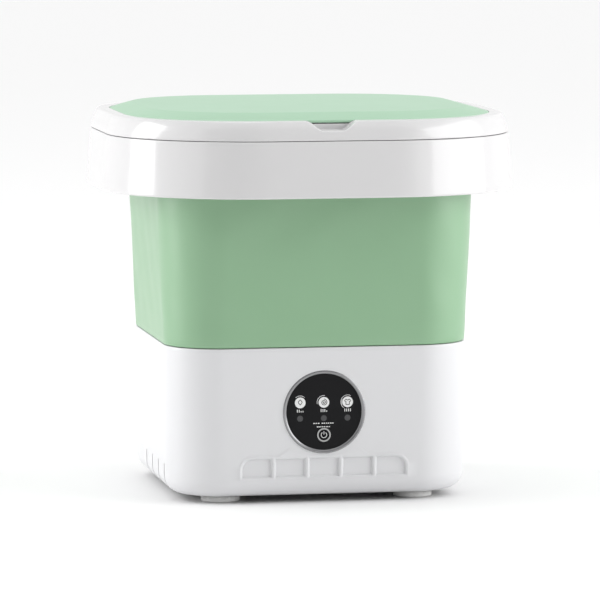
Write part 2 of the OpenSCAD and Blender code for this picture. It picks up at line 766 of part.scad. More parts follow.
module motor_can() {
    color("silver") translate([motor_x, 0, motor_top - motor_len]) difference() {
        union() {
            cylinder(r = motor_d / 2, h = motor_len);
            translate([0, 0, motor_len]) cylinder(r = 3, h = plate_t - 0.2);
        }
        translate([0, 0, motor_len - 13]) cylinder(r = motor_shaft_r + running_gap, h = 20);
        for (side = [-1, 1])
            translate([0, side * 9, motor_len - 5]) cylinder(r = 1.3, h = 8);
    }
}

module motor_end_cap() {
    color("black") translate([motor_x, 0, motor_top - motor_len]) {
        translate([0, 0, -2.5]) cylinder(r = motor_d / 2 - 1, h = 2.5);
        for (side = [-1, 1])
            translate([side * 8 - 1.5, -0.4, -5]) cube([3, 0.8, 2.6]);
    }
}

module motor_screws() {
    color("silver") for (side = [-1, 1])
        translate([motor_x, side * 9, 0]) {
            translate([0, 0, plate_z + plate_t]) cylinder(r = 2.2, h = 1.2);
            translate([0, 0, plate_z - 4]) cylinder(r = 1.2, h = 4 + plate_t + eps);
        }
}

module gear_plate() {
    half_x = plate_post_x + 7;
    color("lightsteelblue") difference() {
        translate([0, 0, plate_z]) linear_extrude(plate_t) outline(half_x, plate_post_y + 7, 6);
        translate([motor_x, 0, plate_z - 1]) cylinder(r = 3.2, h = plate_t + 2);
        for (side = [-1, 1])
            translate([motor_x, side * 9, plate_z - 1]) cylinder(r = 1.3, h = plate_t + 2);
        translate([8, 0, plate_z - 1]) linear_extrude(plate_t + 2) outline(12, 14, 5);
        at_plate_posts() translate([0, 0, plate_z - 1]) cylinder(r = screw_hole_r, h = plate_t + 2);
    }
}

module plate_screws() {
    color("silver") at_plate_posts() {
        translate([0, 0, plate_z - 2]) cylinder(r = 3, h = 2);
        translate([0, 0, plate_z - eps]) cylinder(r = screw_r, h = 12);
    }
}

// ---- Control panel ----

module panel_bezel() {
    depth = cup_back - bezel_front;
    color("silver") difference() {
        union() {
            along_y(0, bezel_front, panel_z) rotate_extrude()
                polygon([[0, 0.6], [panel_r + 0.5, 0.6], [panel_r + 0.8, 0], [bezel_r - 0.6, 0], [bezel_r, 0.6],
                    [bezel_r, 1.4], [cup_r, 1.4], [cup_r, depth], [0, depth]]);
            at_board_posts() along_y(0, cup_back - 0.5, 0) cylinder(r = 2.6, h = board_front - cup_back + 0.5);
            along_y(0, cup_back - 0.5, key_z) cylinder(r = key_stem_r + 1.6, h = 2.5);
        }
        along_y(0, bezel_front - 1, panel_z) cylinder(r = panel_r + 0.1, h = disc_front + disc_t - bezel_front + 1);
        along_y(0, bezel_front, key_z) cylinder(r = key_stem_r + running_gap, h = 20);
        at_marks() translate([0, -window_z, bezel_front]) cylinder(r = window_r + 0.1, h = 20);
        at_board_posts() along_y(0, cup_back + 1, 0) cylinder(r = 1.1, h = 10);
    }
}

module panel_disc() {
    color("black") difference() {
        along_y(0, disc_front, panel_z) cylinder(r = panel_r, h = disc_t);
        along_y(0, disc_front - 1, key_z) cylinder(r = key_r + 0.2, h = disc_t + 2);
        at_marks() translate([0, -window_z, disc_front - 1]) cylinder(r = window_r + 0.1, h = disc_t + 2);
    }
}

module mode_marks() {
    color("white") at_marks() translate([0, -mark_z, disc_front - 0.25]) cylinder(r = mark_r, h = 0.25);
}

module indicator_windows() {
    color("gray") at_marks() translate([0, -window_z, disc_front + 0.2])
        cylinder(r = window_r, h = board_front - disc_front - 2.4);
}

module power_key() {
    front = disc_front - 0.3;
    color("black") {
        along_y(0, front, key_z) cylinder(r = key_r, h = disc_t + 0.3 - key_travel - 0.2);
        along_y(0, front + 1, key_z) cylinder(r = key_stem_r, h = board_front - 3.6 - front - 1 - key_travel);
    }
}

module key_ring() {
    front = disc_front - 0.55;
    color("white") difference() {
        along_y(0, front, key_z) cylinder(r = key_r - 0.6, h = 0.25);
        along_y(0, front - 1, key_z) cylinder(r = key_r - 1.7, h = 3);
    }
}

module control_board() {
    half_x = panel_r * 0.92;
    color("darkgreen") difference() {
        translate([-half_x, board_front, panel_z - panel_r * 0.86]) cube([2 * half_x, board_t, panel_r * 1.72]);
        at_board_posts() along_y(0, board_front - 1, 0) cylinder(r = 1.3, h = 5);
    }
}

module key_switch() {
    color("dimgray") {
        translate([-3, board_front - 2.8, key_z - 3]) cube([6, 2.8, 6]);
        along_y(0, board_front - 3.4, key_z) cylinder(r = 1.6, h = 0.7);
    }
}

module board_leds() {
    color("lightyellow") at_marks() translate([0, -window_z, board_front - 1.9]) cylinder(r = 1.5, h = 1.9);
}

module board_screws() {
    color("silver") at_board_posts() {
        along_y(0, board_front + board_t, 0) cylinder(r = 2.1, h = 1.3);
        along_y(0, board_front - 4, 0) cylinder(r = 1, h = 4 + board_t + eps);
    }
}

// ---- Power inlet and wiring ----

module power_inlet() {
    color("black") difference() {
        union() {
            along_y(inlet_x, rear_y - 11, outlet_z) cylinder(r = 5.5, h = 11.4);
            along_y(inlet_x, rear_y + 0.06, outlet_z) cylinder(r = 7.5, h = 1.6);
        }
        along_y(inlet_x, rear_y - 8, outlet_z) cylinder(d = inlet_d, h = 20);
        along_y(inlet_x, rear_y - 12, outlet_z) cylinder(r = inlet_pin_r + 0.02, h = 10);
    }
}

module inlet_pin() {
    color("silver") along_y(inlet_x, rear_y - 11, outlet_z) cylinder(r = inlet_pin_r, h = 10.6);
}

module inlet_nut() {
    color("silver") difference() {
        along_y(inlet_x, rear_y - base_wall - 3, outlet_z) cylinder(r = 8.5, h = 2.6, $fn = 6);
        along_y(inlet_x, rear_y - base_wall - 4, outlet_z) cylinder(r = 5.52, h = 6);
    }
}

// Round wire through a list of points
module wire(points, r) {
    for (i = [0:len(points) - 2]) {
        span = points[i + 1] - points[i];
        length = norm(span);
        turn = [0, acos(span[2] / length), atan2(span[1], span[0])];
        translate(points[i]) rotate(turn) cylinder(r = r, h = length, $fn = 12);
        translate(points[i + 1]) sphere(r, $fn = 12);
    }
}

module wire_harness() {
    wire_r = 0.9;
    rail = foot_h + cover_t + 5;
    board_low = panel_z - panel_r * 0.7;
    board_back = board_front + board_t;
    motor_end = motor_top - motor_len - 2.5;
    color("crimson") {
        wire([[-6, board_back, board_low], [-6, board_back + 8, board_low], [-6, board_back + 8, rail],
            [motor_x + 8, -22, rail], [motor_x + 8, -3, motor_end - 2]], wire_r);
        wire([[-10, board_back, board_low], [-10, board_back + 12, board_low], [-10, board_back + 12, rail],
            [wire_x, -20, rail], [wire_x, rear_y - 20, rail], [inlet_x, rear_y - 20, outlet_z],
            [inlet_x, rear_y - 12, outlet_z]], wire_r);
    }
}

base_shell();
bottom_cover();
feet();
cover_screws();
tub_pan();
drain_grate();
drain_elbow();
drain_spigot();
drain_plug();
fold_wall();
collar();
wall_clamp_ring();
lid_frame();
lid_panel();
lid_liner();
lid_seal();
hinge_pins();
pulsator();
pulsator_screw();
drive_shaft();
shaft_seal();
upper_bearing();
lower_bearing();
shaft_clip();
driven_gear();
gear_plate();
plate_screws();
motor_can();
motor_end_cap();
motor_screws();
motor_shaft();
motor_pinion();
panel_bezel();
panel_disc();
mode_marks();
indicator_windows();
power_key();
key_ring();
control_board();
key_switch();
board_leds();
board_screws();
power_inlet();
inlet_pin();
inlet_nut();
wire_harness();
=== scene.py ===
import json
import math

import bmesh
import bpy
import numpy as np
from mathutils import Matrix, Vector

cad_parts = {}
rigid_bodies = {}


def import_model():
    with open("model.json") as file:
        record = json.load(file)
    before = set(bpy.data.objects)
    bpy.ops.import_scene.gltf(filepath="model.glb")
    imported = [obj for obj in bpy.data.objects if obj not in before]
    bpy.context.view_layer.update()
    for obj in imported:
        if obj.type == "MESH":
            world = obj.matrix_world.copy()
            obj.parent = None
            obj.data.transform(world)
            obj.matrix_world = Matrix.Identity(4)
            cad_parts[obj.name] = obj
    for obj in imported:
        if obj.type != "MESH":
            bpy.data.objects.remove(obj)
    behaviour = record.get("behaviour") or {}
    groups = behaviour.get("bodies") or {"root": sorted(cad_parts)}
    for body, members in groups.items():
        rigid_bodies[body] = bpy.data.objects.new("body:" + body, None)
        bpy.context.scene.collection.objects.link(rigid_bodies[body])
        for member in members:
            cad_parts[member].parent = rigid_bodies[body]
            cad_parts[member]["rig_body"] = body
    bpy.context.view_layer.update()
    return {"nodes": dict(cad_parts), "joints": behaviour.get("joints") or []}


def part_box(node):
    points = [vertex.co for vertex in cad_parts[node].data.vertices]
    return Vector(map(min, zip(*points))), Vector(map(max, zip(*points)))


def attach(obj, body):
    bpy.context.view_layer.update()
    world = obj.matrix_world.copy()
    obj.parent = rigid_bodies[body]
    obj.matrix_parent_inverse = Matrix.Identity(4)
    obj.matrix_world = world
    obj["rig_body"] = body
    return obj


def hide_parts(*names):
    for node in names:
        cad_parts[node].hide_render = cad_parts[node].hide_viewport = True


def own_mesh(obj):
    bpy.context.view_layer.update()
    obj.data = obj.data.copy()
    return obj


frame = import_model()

MM = 0.001

# ---------------------------------------------------------------- sizes from the frame

shell_low, shell_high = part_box("base_shell")
wall_low, wall_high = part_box("fold_wall")
collar_low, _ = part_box("collar")
frame_low, frame_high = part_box("lid_frame")
panel_low, panel_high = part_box("lid_panel")
seal_low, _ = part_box("lid_seal")
clamp_low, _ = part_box("wall_clamp_ring")
bezel_low, bezel_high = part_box("panel_bezel")
disc_low, disc_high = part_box("panel_disc")
pin_low, pin_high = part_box("hinge_pins")
spigot_low, spigot_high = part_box("drain_spigot")
inlet_low, inlet_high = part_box("power_inlet")

BASE_CORNER = 45 * MM
BASE_WALL = 2.8 * MM
BASE_DRAFT = 0.8 * MM
BOTTOM_ROUND = 14 * MM
COLLAR_CORNER = 120 * MM
COLLAR_FLARE = 3.2 * MM
COLLAR_T = 3 * MM
COLLAR_BAND = 16 * MM
NECK_DROP = 15 * MM
NECK_GAP = 0.5 * MM
WALL_T = 3 * MM
SEAL_GAP = 0.4 * MM
LID_GAP = 1 * MM
LID_INSET = 0.5 * MM
LID_CORNER_IN = 2.5 * MM
LID_T = 3 * MM
LID_REACH = 0.5 * MM
LID_SLOPE = 5.4 * MM
PANEL_IN = 15.3 * MM
PANEL_SET = 2.2 * MM
PANEL_BORDER = 18 * MM
LEDGE_DROP = 2.4 * MM
LEDGE_IN = 9 * MM
LEDGE_OUT = 2 * MM
NOTCH_W = 42 * MM
NOTCH_H = 7.6 * MM
NOTCH_LEAN = 0.28
KNUCKLE_R = 3.3 * MM

base_x, base_y = shell_high.x, shell_high.y
seam_z = (shell_high.z + wall_low.z) / 2
base_core = (base_x - BASE_CORNER, base_y - BASE_CORNER)
wall_lean = (wall_high.x - base_x) / (wall_high.z - seam_z)
collar_z = collar_low.z
part_z = seal_low.z - SEAL_GAP
lid_z = part_z + LID_GAP
frame_top = panel_low.z + PANEL_SET
ledge_z = frame_top - LEDGE_DROP
lid_x, lid_y = frame_high.x, -frame_low.y
lid_corner = COLLAR_CORNER - LID_CORNER_IN
collar_x, collar_y = lid_x + COLLAR_FLARE + LID_INSET, lid_y + COLLAR_FLARE + LID_INSET
collar_core = (collar_x - COLLAR_CORNER, collar_y - COLLAR_CORNER)
lid_core = (lid_x - lid_corner, lid_y - lid_corner)
neck_reach = BASE_CORNER + (wall_high.x - base_x) + NECK_GAP
hinge_y, hinge_z = (pin_low.y + pin_high.y) / 2, (pin_low.z + pin_high.z) / 2
disc_z = (disc_low.z + disc_high.z) / 2
bezel_r = (bezel_high.x - bezel_low.x) / 2

ALONG = 80 * MM  # half the longest straight run of any side that is cut into even places
SQUARE_ON = 0.999  # a normal with more than this much along an axis belongs to a straight side


# ---------------------------------------------------------------- surfaces

def spread(low, high, step, *marks):
    """Places from low to high that hold every mark; equal parts no wider than step fill each gap."""
    stops = sorted({round(float(m), 7) for m in (low, high, *marks) if low <= m <= high})
    places = [stops[0]]
    for a, b in zip(stops, stops[1:]):
        parts = max(1, math.ceil((b - a) / step - 1e-6))
        places += list(np.linspace(a, b, parts + 1)[1:])
    return np.array(places)


def track(core, front=None, right=None, back=None, left=None, turn_steps=26, hold=1.5 * MM):
    """Stations once round a rounded box, anticlockwise seen from above, from the front's left end. A station
    is a point on the core rectangle and the outward normal there, so any outline of the family is core +
    reach * normal. Each side takes its own places, and each corner turns the normal by equal steps."""
    cx, cy = core
    points, normals = [], []
    sides = (
        (front, cx, (0, -1), lambda s: (s, -cy)), (right, cy, (1, 0), lambda s: (cx, s)),
        (back, cx, (0, 1), lambda s: (-s, cy)), (left, cy, (-1, 0), lambda s: (-cx, -s)),
    )
    for number, (places, half, normal, at) in enumerate(sides):
        if places is None:
            places = ()
        inner = [p for p in places if abs(p) < half - hold]
        for s in sorted({-half, half - hold, hold - half, half, *inner}):
            points.append(at(s))
            normals.append(normal)
        corner = at(half)
        for a in np.radians(-90 + 90 * number + np.linspace(0, 90, turn_steps + 1)[1:-1]):
            points.append(corner)
            normals.append((math.cos(a), math.sin(a)))
    return np.array(points, float), np.array(normals, float)


def swept(stations, profile):
    """Grid of the surface core + reach * normal at each height, for every reach and height of a profile."""
    core, normal = stations
    reach = np.array([p[0] for p in profile])[:, None, None]
    height = np.array([p[1] for p in profile])[:, None]
    flat = core[None] + reach * normal[None]
    return np.concatenate([flat, np.broadcast_to(height[..., None], flat.shape[:2] + (1,))], axis=2)


def rounded(corners, steps=4, hold=0.35 * MM):
    """Open profile through (x, z, round) corners, whose first and last have no round. A corner becomes the
    quadratic curve that starts and ends that far along its two sides, and each side gets a point just past
    the curve, which keeps its shading flat."""
    made = []
    for i, (x, z, r) in enumerate(corners):
        here = np.array([x, z])
        if r <= 0:
            made.append(here)
            continue
        before = np.array(corners[i - 1][:2]) - here
        after = np.array(corners[i + 1][:2]) - here
        lengths = np.linalg.norm(before), np.linalg.norm(after)
        before, after = before / lengths[0], after / lengths[1]
        if lengths[0] > 2.5 * r + hold:
            made.append(here + before * (r + hold))
        for t in np.linspace(0, 1, steps + 1):
            made.append(here + before * r * (1 - t) ** 2 + after * r * t ** 2)
        if lengths[1] > 2.5 * r + hold:
            made.append(here + after * (r + hold))
    return [tuple(p) for p in made]


def new_piece(name, points, faces, material, sharp=40, merge=0.004 * MM):
    """Object from an array of points and its faces, smooth but for edges sharper than the angle."""
    mesh = bpy.data.meshes.new(name)
    mesh.from_pydata(np.asarray(points, float).tolist(), [], [list(map(int, f)) for f in faces])
    work = bmesh.new()
    work.from_mesh(mesh)
    bmesh.ops.remove_doubles(work, verts=work.verts, dist=merge)
    bmesh.ops.dissolve_degenerate(work, edges=work.edges, dist=merge / 4)
    work.to_mesh(mesh)
    work.free()
    mesh.materials.append(material)
    piece = bpy.data.objects.new(name, mesh)
    bpy.context.scene.collection.objects.link(piece)
    mesh.shade_smooth()
    mesh.set_sharp_from_angle(angle=math.radians(sharp))
    return piece


def quads(rows, columns, wrap_rows, wrap_columns):
    """Corners of every cell of a grid; they face outwards where rows climb and columns turn left."""
    r = np.arange(rows if wrap_rows else rows - 1)
    c = np.arange(columns if wrap_columns else columns - 1)
    r, c = np.meshgrid(r, c, indexing="ij")
    up, on = (r + 1) % rows, (c + 1) % columns
    return np.stack([r * columns + c, r * columns + on, up * columns + on, up * columns + c], -1)


def hoop(name, grid, material):
    """Closed band: the grid's rows go round its section and its columns go round the object."""
    rows, columns = grid.shape[:2]
    faces = quads(rows, columns, True, True).reshape(-1, 4)
    return new_piece(name, grid.reshape(-1, 3), faces, material)


def capped(name, grid, material, **options):
    """Closed solid whose first and last rows have shrunk to points."""
    rows, columns = grid.shape[:2]
    faces = quads(rows, columns, False, True).reshape(-1, 4)
    return new_piece(name, grid.reshape(-1, 3), faces, material, **options)


def walled(name, outer, inner, keep, material):
    """Thick shell between two grids of one size. Cells that aren't kept become holes, and every kept cell
    that borders a hole or an end row gets a face between the two grids there, so the shell is closed."""
    rows, columns = outer.shape[:2]
    count = rows * columns
    cells = quads(rows, columns, False, True)
    faces = [cells[keep], cells[keep][:, ::-1] + count]
    lower = np.vstack([np.zeros((1, columns), bool), keep[:-1]])
    upper = np.vstack([keep[1:], np.zeros((1, columns), bool)])
    before, after = np.roll(keep, 1, axis=1), np.roll(keep, -1, axis=1)
    for neighbour, a, b in ((lower, 0, 1), (after, 1, 2), (upper, 2, 3), (before, 3, 0)):
        open_edge = keep & ~neighbour
        start, end = cells[open_edge][:, a], cells[open_edge][:, b]
        faces.append(np.stack([end, start, start + count, end + count], -1))
    points = np.concatenate([outer.reshape(-1, 3), inner.reshape(-1, 3)])
    return new_piece(name, points, np.concatenate(faces), material)


def ease(t):
    """Smooth step of t from 0 to 1."""
    t = np.clip(t, 0, 1)
    return t * t * (3 - 2 * t)


def cad_copy(node, material, sharp=32, soften=0.0):
    """Smooth-shaded copy of a CAD node, with its loose triangles joined, that stands in for the node."""
    source = frame["nodes"][node]
    mesh = source.data.copy()
    work = bmesh.new()
    work.from_mesh(mesh)
    bmesh.ops.remove_doubles(work, verts=work.verts, dist=0.002 * MM)
    work.to_mesh(mesh)
    work.free()
    mesh.materials.clear()
    mesh.materials.append(material)
    mesh.shade_smooth()
    mesh.set_sharp_from_angle(angle=math.radians(sharp))
    piece = bpy.data.objects.new(node + "_fine", mesh)
    bpy.context.scene.collection.objects.link(piece)
    if soften > 0:
        bevel = piece.modifiers.new("edges", "BEVEL")
        bevel.width = soften
        bevel.segments = 2
        bevel.limit_method = "ANGLE"
        bevel.angle_limit = math.radians(40)
        bevel.harden_normals = True
    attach(piece, source["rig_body"])
    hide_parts(node)


# ---------------------------------------------------------------- materials

class Wave:
    """A shader socket that takes part in Python arithmetic by adding Math nodes."""

    def __init__(self, finish, socket):
        self.finish, self.socket = finish, socket

    def _math(self, operation, *terms):
        inputs = {str(i): term for i, term in enumerate(terms)}
        return self.finish.node("ShaderNodeMath", {"operation": operation}, **inputs)

    def __add__(self, other):
        return self._math("ADD", self, other)

    def __radd__(self, other):
        return self._math("ADD", other, self)

    def __sub__(self, other):
        return self._math("SUBTRACT", self, other)

    def __mul__(self, other):
        return self._math("MULTIPLY", self, other)


class Finish:
    """One material: a Principled shader whose sockets are set, and whatever pattern feeds it."""

    def __init__(self, name, color, roughness, **sockets):
        self.material = bpy.data.materials.new(name)
        self.material.use_nodes = True
        self.tree = self.material.node_tree
        self.shader = self.tree.nodes["Principled BSDF"]
        self.color = (*color, 1.0)
        self.roughness = roughness
        self.shader.inputs["Base Color"].default_value = self.color
        self.shader.inputs["Roughness"].default_value = roughness
        for socket, value in sockets.items():
            self.shader.inputs[socket.replace("_", " ")].default_value = value
        self.place = self.node("ShaderNodeTexCoord", {}, output="Object")

    def node(self, kind, settings, output=None, **inputs):
        """Adds a node, with its settings first, and returns one output. An input's name is its socket's,
        with _ for a space, or its number; it is a value or a Wave to link."""
        made = self.tree.nodes.new(kind)
        for key, value in settings.items():
            setattr(made, key, value)
        for key, value in inputs.items():
            socket = made.inputs[int(key)] if key.isdigit() else made.inputs[key.replace("_", " ")]
            if isinstance(value, Wave):
                self.tree.links.new(value.socket, socket)
            else:
                socket.default_value = value
        return Wave(self, made.outputs[output] if output else made.outputs[0])

    def feed(self, socket, wave):
        self.tree.links.new(wave.socket, self.shader.inputs[socket])

    def noise(self, scale, detail=2.0, roughness=0.5, stretch=None):
        """Noise over the object's own coordinates, about 0.5 on average; stretch scales it on each axis."""
        place = self.place
        if stretch:
            place = self.node("ShaderNodeMapping", {}, Vector=place, Scale=stretch)
        inputs = {"Vector": place, "Scale": scale, "Detail": detail, "Roughness": roughness}
        return self.node("ShaderNodeTexNoise", {}, **inputs)

    def tint(self, amount, other, scale=9.0):
        """Colour drifts from the base towards another by an amount that follows slow noise."""
        share = (self.noise(scale, 3.0) - 0.3) * (2 * amount)
        ends = {"0": share, "6": self.color, "7": (*other, 1)}
        mixed = self.node("ShaderNodeMix", {"data_type": "RGBA"}, output=2, **ends)
        self.feed("Base Color", mixed)
        return self

    def wear(self, spread_of, scale=40.0):
        """Roughness varies by noise round its own value."""
        self.feed("Roughness", self.roughness + (self.noise(scale, 4.0, 0.6) - 0.5) * spread_of)
        return self

    def bump(self, height, strength, distance):
        made = self.node("ShaderNodeBump", {}, Height=height, Strength=strength, Distance=distance)
        self.feed("Normal", made)
        return self


def moulded(name, color, roughness, grain=1.0, drift=0.25, other=None, **sockets):
    """Injection-moulded plastic: slow colour drift, uneven polish, and a fine skin over a faint ripple."""
    made = Finish(name, color, roughness, **sockets)
    made.tint(drift, other or tuple(c * 0.94 for c in color))
    made.wear(0.08)
    skin_height = made.noise(900.0, 3.0, 0.6) * 0.35 + made.noise(26.0, 1.0) * 2.0
    return made.bump(skin_height, 0.5, 0.00006 * grain).material


def machined(name, color, roughness, stretch, scale=300.0, **sockets):
    """Machined or drawn metal: streaks along one axis in roughness and height."""
    made = Finish(name, color, roughness, Metallic=1.0, **sockets)
    streak = made.noise(scale, 4.0, 0.6, stretch)
    made.feed("Roughness", made.roughness + (streak - 0.5) * 0.25)
    made.tint(0.3, tuple(c * 0.8 for c in color), 30.0)
    return made.bump(streak, 0.4, 0.00005).material


PANEL_GREEN = (0.375, 0.59, 0.42)
WALL_GREEN = (0.225, 0.415, 0.236)

white_gloss = moulded("white_gloss", (0.70, 0.695, 0.70), 0.17, 0.5, Coat_Weight=0.3, Coat_Roughness=0.05)
white_satin = moulded("white_satin", (0.715, 0.715, 0.73), 0.32, 1.0)
white_inner = moulded("white_inner", (0.72, 0.72, 0.71), 0.48, 2.0)
green_panel = moulded("green_panel", PANEL_GREEN, 0.42, 1.2, 0.3, (0.40, 0.62, 0.45))
green_elastic = moulded("green_elastic", WALL_GREEN, 0.34, 3.0, 0.5, (0.245, 0.435, 0.255),
                         Specular_IOR_Level=0.95)
soft_white = moulded("soft_white", (0.72, 0.72, 0.71), 0.6, 4.0)
# Dark grey on the bottom cover is painted shade: it darkens the gap under the base.
underside_shade_grey = moulded("underside_shade_grey", (0.12, 0.12, 0.12), 0.6, 3.0)
grey_rubber = moulded("grey_rubber", (0.09, 0.09, 0.095), 0.62, 4.0)
black_gloss = moulded("black_gloss", (0.007, 0.007, 0.008), 0.10, 0.15, 0.4, (0.010, 0.010, 0.011),
                       Specular_IOR_Level=0.12)
black_plastic = moulded("black_plastic", (0.02, 0.02, 0.02), 0.45, 2.0)
white_print = moulded("white_print", (0.82, 0.82, 0.82), 0.5, 1.0)
grey_print = moulded("grey_print", (0.42, 0.42, 0.42), 0.5, 1.0)
dark_print = moulded("dark_print", (0.02, 0.02, 0.02), 0.5, 1.0)
grey_window = moulded("grey_window", (0.055, 0.055, 0.058), 0.25, 0.5)
silver_trim = moulded("silver_trim", (0.30, 0.30, 0.31), 0.24, 0.5, Metallic=0.55)
steel = machined("steel", (0.60, 0.60, 0.61), 0.30, (1, 1, 8))
zinc_plate = machined("zinc_plate", (0.56, 0.58, 0.62), 0.42, (1, 6, 1))
gear_nylon = moulded("gear_nylon", (0.74, 0.70, 0.58), 0.5, 2.0)
board_green = moulded("board_green", (0.02, 0.14, 0.06), 0.35, 1.0)
clear_led = moulded("clear_led", (0.8, 0.8, 0.7), 0.2, 0.5)
wire_red = moulded("wire_red", (0.42, 0.03, 0.03), 0.4, 1.0)


# ---------------------------------------------------------------- base shell

CELLS = 5
CELL_W = 25.2 * MM
CELL_RIB = 2.6 * MM
CELL_Z = 22 * MM
CELL_RIM = 0.45 * MM
CELL_H = 15.5 * MM
CELL_ROUND = 8.5 * MM
CELL_DEPTH = 1.9 * MM
CELL_SOFT = 1.1 * MM
CELL_PITCH = CELL_W + CELL_RIB
CELL_ROW_HALF = (CELLS * CELL_W + (CELLS - 1) * CELL_RIB) / 2
CELL_STEPS = [s * CELL_SOFT for s in (0, 0.35, 0.7, 1)] + [-s * CELL_RIB for s in (0.25, 0.5, 0.75, 1)]
PORTHOLE = 37.5 * MM
BEZEL_SEAT = 0.4 * MM
BEZEL_HOLE = 1.2 * MM
PORT_HALF = 14 * MM
SPIGOT_HOLE = 10 * MM
INLET_HOLE = 5.7 * MM
VENTS = 4
VENT_W = 2.6 * MM
VENT_LOW = 2 * MM
VENT_TOP = 30 * MM
VENT_PITCH = base_y * 2 * 0.132
VENT_START = -2.27
VENT_EDGE = 0.5 * MM
LIP = 0.6 * MM
SHELL_STEP = 3 * MM
CORNER_STEP = 0.6 * MM
PORT_STEP = 2.4 * MM


def ring_round(s, t, reach, half):
    """Bends a square patch of a grid so that its squares become circles inside the reach; its rim stays."""
    ratio = np.maximum(abs(s), abs(t)) / half
    radius = np.hypot(s, t)
    scale = np.where(radius > 0, ratio * half / np.where(radius > 0, radius, 1), 1)
    share = ease((ratio - reach / half) / (1 - reach / half))
    inside = ratio < 1
    share = np.where(inside, share, 1)
    return s * (share + (1 - share) * scale), t * (share + (1 - share) * scale)


def cell_relief(x, z):
    """How far a front point is sunk in the row of five cells. It follows the distance inside each cell's
    outline, whose outer top corner is round in the two end cells; a low rim, half a rib away, runs round
    every outline."""
    nearest = np.full_like(x, -1.0)
    for i in range(CELLS):
        left = -CELL_ROW_HALF + i * CELL_PITCH
        inside = np.minimum.reduce([x - left, left + CELL_W - x, z - CELL_Z, CELL_Z + CELL_H - z])
        if i in (0, CELLS - 1):
            from_edge = (x - left) if i == 0 else (left + CELL_W - x)
            from_top = CELL_Z + CELL_H - z
            in_corner = (from_edge < CELL_ROUND) & (from_top < CELL_ROUND)
            arc = CELL_ROUND - np.hypot(CELL_ROUND - from_edge, CELL_ROUND - from_top)
            inside = np.where(in_corner, arc, inside)
        nearest = np.maximum(nearest, inside)
    rim = ease(1 - abs(nearest + CELL_RIB / 2) / (CELL_RIB / 2)) * ease((z - shell_low.z - BOTTOM_ROUND) / MM)
    return ease(nearest / CELL_SOFT) * CELL_DEPTH - rim * CELL_RIM


def cell_marks(edges):
    """Places that a cell's soft side and rim need beside each edge, whose way points into the cell."""
    return [edge + way * step for edge, way in edges for step in CELL_STEPS]


